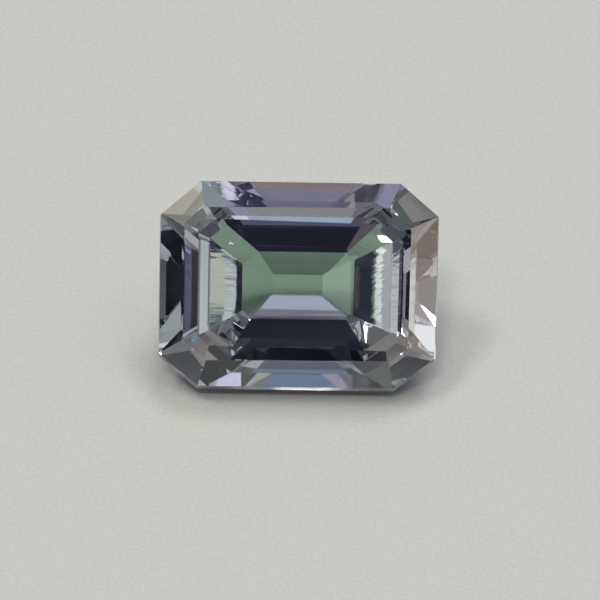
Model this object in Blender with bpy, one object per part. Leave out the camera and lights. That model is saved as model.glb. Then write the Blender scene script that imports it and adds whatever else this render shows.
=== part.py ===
"""A loose faceted tanzanite: one step-cut stone with a cut-corner outline, lying on a pavilion facet.

The stone is modelled as a gem cutter makes it. A block is ground flat by flat: the girdle outline, the
crown in two steps up to the table, and the pavilion in three steps down to a small flat at the bottom.
In the cutting frame X runs along the stone's length, Y along its width and Z along the table's normal,
and the upper edge of the girdle lies at Z = 0. The finished stone is then laid down.
"""

import math
from typing import NamedTuple

import bmesh
import bpy
from mathutils import Matrix, Vector

MM = 0.001

# The levels of the joints between the steps, which run nearly level round the stone.
CROWN_JOINT_LEVEL = 0.67 * MM
TABLE_LEVEL = CROWN_JOINT_LEVEL + 0.11 * MM
GIRDLE_HEIGHT = 0.18 * MM
UPPER_JOINT_LEVEL = -GIRDLE_HEIGHT - 1.42 * MM
LOWER_JOINT_LEVEL = UPPER_JOINT_LEVEL - 0.82 * MM
BOTTOM_LEVEL = LOWER_JOINT_LEVEL - 0.49 * MM


class Side(NamedTuple):
    """One side of the stone: the way it faces in degrees from X, and its reaches from the axis in mm.

    The drops say how much deeper than on the other sides its two pavilion joints lie, in mm.
    """

    azimuth: float
    girdle: float
    crown_joint: float
    table: float
    upper_joint: float
    lower_joint: float
    bottom: float
    girdle_lean: float = 0.0
    crown_turn: float = 0.0
    upper_drop: float = 0.0
    lower_drop: float = 0.0


# The cut is a little uneven, as hand cutting leaves it: the girdle leans inwards towards the crown on
# the near sides, the upper crown facets of the two long sides are turned by a degree, and at three of
# the corners a pavilion joint lies deeper than the rest.
SIDES = {
    "far": Side(90.0, 2.99, 2.23, 1.82, 1.78, 1.04, 0.40, crown_turn=-1.1),
    "near": Side(270.0, 2.98, 2.16, 1.81, 1.82, 0.90, 0.18, girdle_lean=24.0, crown_turn=-1.0),
    "left": Side(180.0, 4.00, 3.28, 2.87, 2.57, 1.62, 0.74, girdle_lean=8.0),
    "right": Side(359.2, 3.99, 3.19, 2.87, 2.68, 1.60, 0.70, girdle_lean=8.0),
    "far left": Side(130.2, 4.11, 3.46, 2.97, 2.71, 1.55, 0.77),
    "far right": Side(49.6, 4.16, 3.36, 3.08, 2.78, 1.63, 0.79, lower_drop=0.04),
    "near left": Side(230.6, 4.11, 3.32, 2.97, 2.58, 1.55, 0.62, girdle_lean=18.0, upper_drop=0.035),
    "near right": Side(306.8, 4.04, 3.31, 3.00, 2.62, 1.47, 0.52, girdle_lean=18.0, lower_drop=0.07),
}

# The nick in the far edge of the girdle.
NICK_PLACE = 2.00 * MM
NICK_LENGTH = 0.46 * MM
NICK_DEPTH = 0.07 * MM

COLOUR = (0.42, 0.47, 0.52, 1.0)
REFRACTIVE_INDEX = 1.695
BLOCK_SIZE = 20 * MM
SNAP = 1e-9


def clear_scene():
    for old in list(bpy.data.objects):
        bpy.data.objects.remove(old, do_unlink=True)


def facets(side):
    """The facets of one side from the table down: each one's azimuth, and its two edges."""
    girdle_top = side.girdle - GIRDLE_HEIGHT / MM * math.tan(math.radians(side.girdle_lean))
    table = (side.table, TABLE_LEVEL)
    crown_joint = (side.crown_joint, CROWN_JOINT_LEVEL)
    girdle_upper = (girdle_top, 0.0)
    girdle_lower = (side.girdle, -GIRDLE_HEIGHT)
    upper_joint = (side.upper_joint, UPPER_JOINT_LEVEL - side.upper_drop * MM)
    lower_joint = (side.lower_joint, LOWER_JOINT_LEVEL - side.lower_drop * MM)
    bottom = (side.bottom, BOTTOM_LEVEL)
    yield side.azimuth + side.crown_turn, table, crown_joint
    yield side.azimuth, crown_joint, girdle_upper
    yield side.azimuth, girdle_upper, girdle_lower
    yield side.azimuth, girdle_lower, upper_joint
    yield side.azimuth, upper_joint, lower_joint
    yield side.azimuth, lower_joint, bottom


def grind(stone, point, normal):
    """Cuts away what lies outside one flat, and closes the stone there with a facet."""
    everything = stone.verts[:] + stone.edges[:] + stone.faces[:]
    cut = bmesh.ops.bisect_plane(
        stone, geom=everything, dist=SNAP, plane_co=point, plane_no=normal, clear_outer=True
    )
    rim = [piece for piece in cut["geom_cut"] if isinstance(piece, bmesh.types.BMEdge)]
    bmesh.ops.edgeloop_fill(stone, edges=rim)


def grind_facet(stone, azimuth, upper_edge, lower_edge):
    """Grinds the facet that faces this azimuth between two edges, each given by its reach and level."""
    upper_reach, upper_level = upper_edge
    lower_reach, lower_level = lower_edge
    turn = math.radians(azimuth)
    outwards = Vector((math.cos(turn), math.sin(turn), 0.0))
    upwards = Vector((0.0, 0.0, 1.0))
    fall = upper_level - lower_level
    run = (lower_reach - upper_reach) * MM
    point = outwards * upper_reach * MM + upwards * upper_level
    grind(stone, point, (outwards * fall + upwards * run).normalized())


def cut_stone():
    stone = bmesh.new()
    bmesh.ops.create_cube(stone, size=BLOCK_SIZE)
    for side in SIDES.values():
        for azimuth, upper_edge, lower_edge in facets(side):
            grind_facet(stone, azimuth, upper_edge, lower_edge)
    grind(stone, Vector((0.0, 0.0, TABLE_LEVEL)), Vector((0.0, 0.0, 1.0)))
    grind(stone, Vector((0.0, 0.0, BOTTOM_LEVEL)), Vector((0.0, 0.0, -1.0)))
    mesh = bpy.data.meshes.new("tanzanite")
    stone.to_mesh(mesh)
    stone.free()
    return mesh


def nick_cutter():
    """The round hollow that the nick leaves: a ball whose cap is as long and as deep as the nick."""
    radius = ((NICK_LENGTH / 2) ** 2 + NICK_DEPTH**2) / (2 * NICK_DEPTH)
    ball = bmesh.new()
    bmesh.ops.create_icosphere(ball, subdivisions=3, radius=radius)
    mesh = bpy.data.meshes.new("nick cutter")
    ball.to_mesh(mesh)
    ball.free()
    far_reach = SIDES["far"].girdle * MM
    mesh.transform(Matrix.Translation((NICK_PLACE, far_reach - NICK_DEPTH + radius, 0.0)))
    return mesh


def laid_down(mesh):
    """The placing in which the middle facet of the near pavilion side lies flat on the ground.

    The middle of the stone's footprint box is then at the origin.
    """
    near = SIDES["near"]
    facet_fall = UPPER_JOINT_LEVEL - LOWER_JOINT_LEVEL
    facet_run = (near.upper_joint - near.lower_joint) * MM
    turn = Matrix.Rotation(math.atan2(facet_fall, facet_run), 4, "X")
    corners = [turn @ vertex.co for vertex in mesh.vertices]
    lows = [min(corner[axis] for corner in corners) for axis in range(3)]
    highs = [max(corner[axis] for corner in corners) for axis in range(3)]
    foot = Vector(((lows[0] + highs[0]) / 2, (lows[1] + highs[1]) / 2, lows[2]))
    return Matrix.Translation(-foot) @ turn


def gem_material():
    material = bpy.data.materials.new("tanzanite crystal")
    material.use_nodes = True
    shader = material.node_tree.nodes["Principled BSDF"]
    shader.inputs["Base Color"].default_value = COLOUR
    shader.inputs["Metallic"].default_value = 0.0
    shader.inputs["Roughness"].default_value = 0.0
    shader.inputs["IOR"].default_value = REFRACTIVE_INDEX
    shader.inputs["Transmission Weight"].default_value = 1.0
    return material


def main():
    clear_scene()
    stone_mesh = cut_stone()
    cutter_mesh = nick_cutter()
    placing = laid_down(stone_mesh)
    stone_mesh.transform(placing)
    cutter_mesh.transform(placing)
    stone_mesh.materials.append(gem_material())

    stone = bpy.data.objects.new("tanzanite", stone_mesh)
    bpy.context.scene.collection.objects.link(stone)

    cutter = bpy.data.objects.new("nick_cutter", cutter_mesh)
    cutter.hide_render = True
    cutter.display_type = "WIRE"
    bpy.context.scene.collection.objects.link(cutter)

    nick = stone.modifiers.new("nick", "BOOLEAN")
    nick.operation = "DIFFERENCE"
    nick.object = cutter


main()
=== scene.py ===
import math

import bpy
from mathutils import Matrix, Vector


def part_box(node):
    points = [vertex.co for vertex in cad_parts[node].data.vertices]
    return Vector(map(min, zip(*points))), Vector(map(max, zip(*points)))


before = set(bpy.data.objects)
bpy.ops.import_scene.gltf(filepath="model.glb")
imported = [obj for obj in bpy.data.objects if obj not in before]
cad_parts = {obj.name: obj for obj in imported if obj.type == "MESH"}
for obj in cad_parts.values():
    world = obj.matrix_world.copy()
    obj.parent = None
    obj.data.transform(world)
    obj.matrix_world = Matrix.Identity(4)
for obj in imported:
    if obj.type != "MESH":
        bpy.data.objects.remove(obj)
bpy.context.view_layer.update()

# The photographer's camera.
# A macro lens about 20 cm from the stone looks down almost square on to its table, so the sides of
# the stone hardly draw together. It is turned by a degree, so the stone leans a little in the frame.
MM = 0.001
CAMERA_ELEVATION = math.radians(45.83)
CAMERA_ROLL = math.radians(0.88)
CAMERA_DISTANCE = 200 * MM
FIELD_WIDTH = 17.25 * MM
AIM_RIGHT = 0.04 * MM
AIM_UP = -0.33 * MM
SENSOR_WIDTH = 36.0
stone_low, stone_high = (Vector(corner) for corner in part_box("tanzanite"))
towards_camera = Vector((0.0, -math.cos(CAMERA_ELEVATION), math.sin(CAMERA_ELEVATION)))
tilt = Matrix.Rotation(math.pi / 2 - CAMERA_ELEVATION, 4, "X")
roll = Matrix.Rotation(CAMERA_ROLL, 4, "Z")
aim = (stone_low + stone_high) / 2 + (tilt @ roll @ Vector((AIM_RIGHT, AIM_UP, 0.0)))
lens = bpy.data.cameras.new("macro lens")
lens.sensor_width = SENSOR_WIDTH
lens.lens = SENSOR_WIDTH * CAMERA_DISTANCE / FIELD_WIDTH
lens.clip_start = 5 * MM
lens.clip_end = 20.0
camera = bpy.data.objects.new("camera", lens)
camera.matrix_world = Matrix.Translation(aim + towards_camera * CAMERA_DISTANCE) @ tilt @ roll
bpy.context.scene.collection.objects.link(camera)
bpy.context.scene.camera = camera

# The stone.
# One crystal of zoisite, ground flat by flat on a lap and polished until the facets have no haze.
# Only the girdle is left as ground, so it is a thin frosted band round the stone.
stone = bpy.data.objects["tanzanite"]


def linear(code):
    """The linear colour of an sRGB hex code."""
    channels = [int(code[i : i + 2], 16) / 255 for i in (0, 2, 4)]
    curve = [c / 12.92 if c <= 0.04045 else ((c + 0.055) / 1.055) ** 2.4 for c in channels]
    return (*curve, 1.0)


def add_node(tree, kind, inputs=None, **settings):
    """Adds a node with its settings, and sets each of its inputs or links it to a socket."""
    node = tree.nodes.new(kind)
    for name, value in settings.items():
        setattr(node, name, value)
    for key, value in (inputs or {}).items():
        if isinstance(value, bpy.types.NodeSocket):
            tree.links.new(value, node.inputs[key])
        else:
            node.inputs[key].default_value = value
    return node


# Polished zoisite bends light strongly, so its facets act as mirrors and windows. Light that
# crosses it one way comes out green, another way violet or brown. The stone's parts are tinted for
# that: the deep facets that one looks through are green, those of the near side brown and violet,
# and the steep ones brown on the far side. Towards the near side the steep ones darken as painted
# shade, which stands for the deep shade on the card under the stone that the near corners look on.
CRYSTAL_IOR = 1.695
BODY_COLOUR = linear("CFD5DC")
BODY_DENSITY = 80.0
CROWN_TINT = linear("F6F4FC")
BROWN_TINT = linear("8E837C")
# Painted shade for the near steep facets, standing for the shaded card that they look down on.
PAINTED_SHADE_TINT = linear("2D3238")
GREEN_TINT = linear("7AB184")
FOOT_TINT = linear("F2D7C6")
VIOLET_TINT = linear("CEC3E4")
FROST = 0.30

# The stone as it was cut: along its length, across it, and up from the girdle's edge, all in mm.
TABLE_TILT = math.radians(41.71)
GIRDLE_CENTRE = (-0.009 * MM, -0.114 * MM, 2.405 * MM)
GIRDLE_HEIGHT = 0.18
UPPER_JOINT = -1.60
LOWER_JOINT = -2.42
CULET_HALF_WIDTH = 0.18
CULET_HALF_LENGTH = 0.70
CORNER_SLOPE = 0.8
# Across the stone, in mm: where the steep facets are still fully brown, and where their painted shade
# is full.
BROWN_ENDS = 0.15
PAINTED_SHADE_FULL = -0.35
EDGE = 0.03
FROST_EDGE = 0.01

crystal = bpy.data.materials.new("tanzanite crystal, polished")
crystal.use_nodes = True
tree = crystal.node_tree
place = add_node(tree, "ShaderNodeTexCoord").outputs["Object"]
cut = add_node(
    tree,
    "ShaderNodeMapping",
    {
        "Vector": place,
        "Location": GIRDLE_CENTRE,
        "Rotation": (TABLE_TILT, 0.0, 0.0),
        "Scale": (MM, MM, MM),
    },
    vector_type="TEXTURE",
).outputs["Vector"]
along, across, height = add_node(tree, "ShaderNodeSeparateXYZ", {"Vector": cut}).outputs

# Where the facets of the pavilion are steep, deep, near the bottom, and on the near side.
steep = add_node(
    tree,
    "ShaderNodeMapRange",
    {"Value": height, "From Min": -GIRDLE_HEIGHT + EDGE, "From Max": -GIRDLE_HEIGHT - EDGE},
).outputs["Result"]
deep = add_node(
    tree,
    "ShaderNodeMapRange",
    {"Value": height, "From Min": UPPER_JOINT + EDGE, "From Max": UPPER_JOINT - EDGE},
).outputs["Result"]
lowest = add_node(
    tree,
    "ShaderNodeMapRange",
    {"Value": height, "From Min": LOWER_JOINT + EDGE, "From Max": LOWER_JOINT - EDGE},
).outputs["Result"]
reach = add_node(tree, "ShaderNodeMath", {0: along}, operation="ABSOLUTE").outputs[0]
beyond = add_node(
    tree, "ShaderNodeMath", {0: reach, 1: CULET_HALF_LENGTH}, operation="SUBTRACT"
).outputs[0]
beyond = add_node(tree, "ShaderNodeMath", {0: beyond, 1: 0.0}, operation="MAXIMUM").outputs[0]
slant = add_node(
    tree, "ShaderNodeMath", {0: beyond, 1: CORNER_SLOPE, 2: across}, operation="MULTIPLY_ADD"
).outputs[0]
near = add_node(
    tree,
    "ShaderNodeMapRange",
    {"Value": slant, "From Min": -CULET_HALF_WIDTH + EDGE, "From Max": -CULET_HALF_WIDTH - EDGE},
).outputs["Result"]
# Painted shade: the steep facets darken from brown towards the near side.
towards_painted_shade = add_node(
    tree, "ShaderNodeMapRange", {"Value": across, "From Min": BROWN_ENDS, "From Max": PAINTED_SHADE_FULL}
).outputs["Result"]

brown_and_painted_shade = add_node(
    tree, "ShaderNodeMix", {"Factor": towards_painted_shade, 6: BROWN_TINT, 7: PAINTED_SHADE_TINT}, data_type="RGBA"
).outputs[2]
near_tint = add_node(
    tree, "ShaderNodeMix", {"Factor": lowest, 6: FOOT_TINT, 7: VIOLET_TINT}, data_type="RGBA"
).outputs[2]
deep_tint = add_node(
    tree, "ShaderNodeMix", {"Factor": near, 6: GREEN_TINT, 7: near_tint}, data_type="RGBA"
).outputs[2]
upper_tint = add_node(
    tree, "ShaderNodeMix", {"Factor": steep, 6: CROWN_TINT, 7: brown_and_painted_shade}, data_type="RGBA"
).outputs[2]
tint = add_node(
    tree, "ShaderNodeMix", {"Factor": deep, 6: upper_tint, 7: deep_tint}, data_type="RGBA"
).outputs[2]

# The ground girdle scatters light, so it looks a little milky.
from_middle = add_node(
    tree, "ShaderNodeMath", {0: height, 1: GIRDLE_HEIGHT / 2}, operation="ADD"
).outputs[0]
from_middle = add_node(tree, "ShaderNodeMath", {0: from_middle}, operation="ABSOLUTE").outputs[0]
frost = add_node(
    tree,
    "ShaderNodeMapRange",
    {
        "Value": from_middle,
        "From Min": GIRDLE_HEIGHT / 2 - FROST_EDGE,
        "From Max": GIRDLE_HEIGHT / 2,
        "To Min": FROST,
        "To Max": 0.0,
    },
).outputs["Result"]

# Fine drag lines that the polishing lap left across the middle facets of the two ends, in mm. Real
# ones are a few hundredths apart. They are drawn coarser, so that they show, and the left end has
# the deeper ones.
STREAK_SPACING = 0.22
STREAK_STRETCH = 0.12
STREAK_SLANT = -0.45
STREAK_DEPTH = 0.0035 * MM
RIGHT_SHARE = 0.75
END_START = 1.62
END_SLOPE = 0.62
END_OFFSET = 0.35
SOFT_RIM = 0.15
right_side = add_node(tree, "ShaderNodeMath", {0: along, 1: 0.0}, operation="MAXIMUM").outputs[0]
slanted = add_node(
    tree, "ShaderNodeMath", {0: right_side, 1: STREAK_SLANT, 2: across}, operation="MULTIPLY_ADD"
).outputs[0]
drawn_out = add_node(
    tree, "ShaderNodeMath", {0: along, 1: STREAK_STRETCH}, operation="MULTIPLY"
).outputs[0]
lap_path = add_node(tree, "ShaderNodeCombineXYZ", {"X": drawn_out, "Y": slanted}).outputs["Vector"]
drag = add_node(
    tree,
    "ShaderNodeTexNoise",
    {
        "Vector": lap_path,
        "Scale": 1 / STREAK_SPACING,
        "Detail": 3.0,
        "Roughness": 0.6,
        "Distortion": 0.4,
    },
).outputs["Fac"]
width = add_node(tree, "ShaderNodeMath", {0: across}, operation="ABSOLUTE").outputs[0]
past_side = add_node(
    tree, "ShaderNodeMath", {0: reach, 1: -END_SLOPE, 2: width}, operation="MULTIPLY_ADD"
).outputs[0]
outwards = add_node(
    tree,
    "ShaderNodeMapRange",
    {"Value": reach, "From Min": END_START, "From Max": END_START + SOFT_RIM},
).outputs["Result"]
inwards = add_node(
    tree,
    "ShaderNodeMapRange",
    {"Value": past_side, "From Min": -END_OFFSET, "From Max": -END_OFFSET - SOFT_RIM},
).outputs["Result"]
by_side = add_node(
    tree,
    "ShaderNodeMapRange",
    {"Value": along, "From Min": -1.0, "From Max": 1.0, "To Min": 1.0, "To Max": RIGHT_SHARE},
).outputs["Result"]
at_ends = add_node(tree, "ShaderNodeMath", {0: outwards, 1: inwards}, operation="MULTIPLY").outputs[0]
at_ends = add_node(tree, "ShaderNodeMath", {0: at_ends, 1: deep}, operation="MULTIPLY").outputs[0]
at_ends = add_node(tree, "ShaderNodeMath", {0: at_ends, 1: by_side}, operation="MULTIPLY").outputs[0]
streaks = add_node(tree, "ShaderNodeMath", {0: drag, 1: at_ends}, operation="MULTIPLY").outputs[0]
relief = add_node(
    tree, "ShaderNodeBump", {"Height": streaks, "Distance": STREAK_DEPTH}
).outputs["Normal"]

shader = tree.nodes["Principled BSDF"]
shader.inputs["IOR"].default_value = CRYSTAL_IOR
shader.inputs["Transmission Weight"].default_value = 1.0
tree.links.new(tint, shader.inputs["Base Color"])
tree.links.new(frost, shader.inputs["Roughness"])
tree.links.new(relief, shader.inputs["Normal"])
inside = add_node(tree, "ShaderNodeVolumeAbsorption", {"Color": BODY_COLOUR, "Density": BODY_DENSITY})
tree.links.new(inside.outputs["Volume"], tree.nodes["Material Output"].inputs["Volume"])
stone.material_slots[0].material = crystal

# The board under the stone.
# A sheet of pale warm grey card, coated and embossed with a fine leather grain, without a gloss.
# The stone lies on the peaks of the grain, so a little air stays between the card and the facet.
BOARD_SIZE = 2.0
GRAIN_HEIGHT = 0.02 * MM
bpy.ops.object.select_all(action="DESELECT")
bpy.ops.mesh.primitive_plane_add(size=BOARD_SIZE, location=(0.0, 0.0, -GRAIN_HEIGHT))
board = bpy.context.object
board.name = "board"

# The grain is about a tenth of a millimetre across, and its pits are a little darker, as painted
# shade where the grain hides them from the light. It is matt, so it shows the stone's shadow and no
# reflection.
GRAIN_SIZE = 0.11 * MM
GRAIN_DEPTH = 0.010 * MM
PIT = 0.35
PEAK = 0.65
PIT_SHADE_COLOUR = linear("E1E0DC")
PEAK_COLOUR = linear("E8E7E3")
CARD_ROUGHNESS = 0.7
card = bpy.data.materials.new("embossed card, pale grey")
card.use_nodes = True
tree = card.node_tree
place = add_node(tree, "ShaderNodeTexCoord").outputs["Object"]
grain = add_node(
    tree,
    "ShaderNodeTexNoise",
    {"Vector": place, "Scale": 1 / GRAIN_SIZE, "Detail": 2.0, "Roughness": 0.5},
).outputs["Fac"]
relief = add_node(tree, "ShaderNodeBump", {"Height": grain, "Distance": GRAIN_DEPTH}).outputs["Normal"]
level = add_node(
    tree, "ShaderNodeMapRange", {"Value": grain, "From Min": PIT, "From Max": PEAK}
).outputs["Result"]
# Painted shade: the pits of the grain are a little darker than its peaks.
paper_with_pit_shade = add_node(
    tree, "ShaderNodeMix", {"Factor": level, 6: PIT_SHADE_COLOUR, 7: PEAK_COLOUR}, data_type="RGBA"
).outputs[2]
shader = tree.nodes["Principled BSDF"]
shader.inputs["Roughness"].default_value = CARD_ROUGHNESS
tree.links.new(paper_with_pit_shade, shader.inputs["Base Color"])
tree.links.new(relief, shader.inputs["Normal"])
board.data.materials.append(card)

# The light.
# A dim room with soft lights round the stone: a few small strong ones high up, which light the
# board, and weaker ones that its facets show. It stays dark behind the camera, so many facets do.
LIGHT_RIM = 1.3
LIGHT_CORE = 0.7
studio = bpy.data.worlds.new("studio")
studio.use_nodes = True
tree = studio.node_tree
direction = add_node(tree, "ShaderNodeTexCoord").outputs["Generated"]


def soft_light(azimuth, elevation, spread, colour, total):
    """Adds one round soft light to the room's total.

    All three angles are in degrees. Azimuth runs from the camera's side towards the right, and the
    spread is the light's radius where it has half its strength.
    """
    turn, lift = math.radians(azimuth), math.radians(elevation)
    towards = (math.sin(turn) * math.cos(lift), -math.cos(turn) * math.cos(lift), math.sin(lift))
    facing = add_node(
        tree, "ShaderNodeVectorMath", {0: direction, 1: towards}, operation="DOT_PRODUCT"
    ).outputs["Value"]
    rim = math.cos(math.radians(spread * LIGHT_RIM))
    core = math.cos(math.radians(spread * LIGHT_CORE))
    fall = add_node(
        tree,
        "ShaderNodeMapRange",
        {"Value": facing, "From Min": rim, "From Max": core},
        interpolation_type="SMOOTHSTEP",
    ).outputs["Result"]
    lit = {"Factor": fall, 6: total, 7: (*colour, 1.0)}
    return add_node(tree, "ShaderNodeMix", lit, data_type="RGBA", blend_type="ADD").outputs[2]


light = (0.007, 0.008, 0.014, 1.0)
# The lamps that light the board: behind, behind on both sides, and high on the camera's side.
light = soft_light(170, 80, 6, (5.5, 5.5, 5.0), light)
light = soft_light(-115, 62, 7, (10.0, 10.0, 9.5), light)
light = soft_light(160, 58, 8, (7.5, 7.5, 7.5), light)
light = soft_light(-25, 70, 7, (9.0, 8.5, 8.0), light)
# Large dim panels on both sides and behind, and a window low behind.
light = soft_light(-65, 60, 30, (0.18, 0.18, 0.20), light)
light = soft_light(105, 55, 30, (0.45, 0.50, 0.45), light)
light = soft_light(-140, 60, 20, (0.25, 0.25, 0.20), light)
light = soft_light(175, 38, 18, (0.30, 0.30, 0.65), light)
# Reflector cards on the camera's side. The table shows them in the facets under it.
light = soft_light(0, 61, 7, (0.33, 0.48, 0.54), light)
light = soft_light(2, 52, 4, (0.09, 0.09, 0.14), light)
light = soft_light(-13, 47, 6, (0.60, 0.65, 0.55), light)
light = soft_light(-42, 36, 13, (0.15, 0.12, 0.10), light)
# Small lamps on the left. The crown's right side shows most of them.
light = soft_light(-80, 76, 8, (0.80, 0.85, 0.80), light)
light = soft_light(-80, 40, 8, (0.16, 0.14, 0.20), light)
light = soft_light(-82, 21, 6, (1.6, 1.8, 1.5), light)
light = soft_light(-140, 30, 6, (2.5, 2.5, 2.0), light)
# Small lamps on the right, and two weak cards low beside the camera.
light = soft_light(58, 27, 4, (0.90, 0.90, 0.95), light)
light = soft_light(72, 21, 7, (0.80, 0.80, 1.0), light)
light = soft_light(90, 5, 6, (2.0, 1.6, 1.2), light)
light = soft_light(-8, 14, 6, (0.35, 0.35, 0.35), light)
light = soft_light(-35, 5, 20, (0.11, 0.11, 0.12), light)
tree.links.new(light, tree.nodes["Background"].inputs["Color"])
bpy.context.scene.world = studio

# Light crosses and meets the facets many times before it leaves the stone.
bpy.context.scene.cycles.max_bounces = 32
bpy.context.scene.cycles.glossy_bounces = 24
bpy.context.scene.cycles.transmission_bounces = 24
bpy.context.scene.view_settings.view_transform = "Standard"
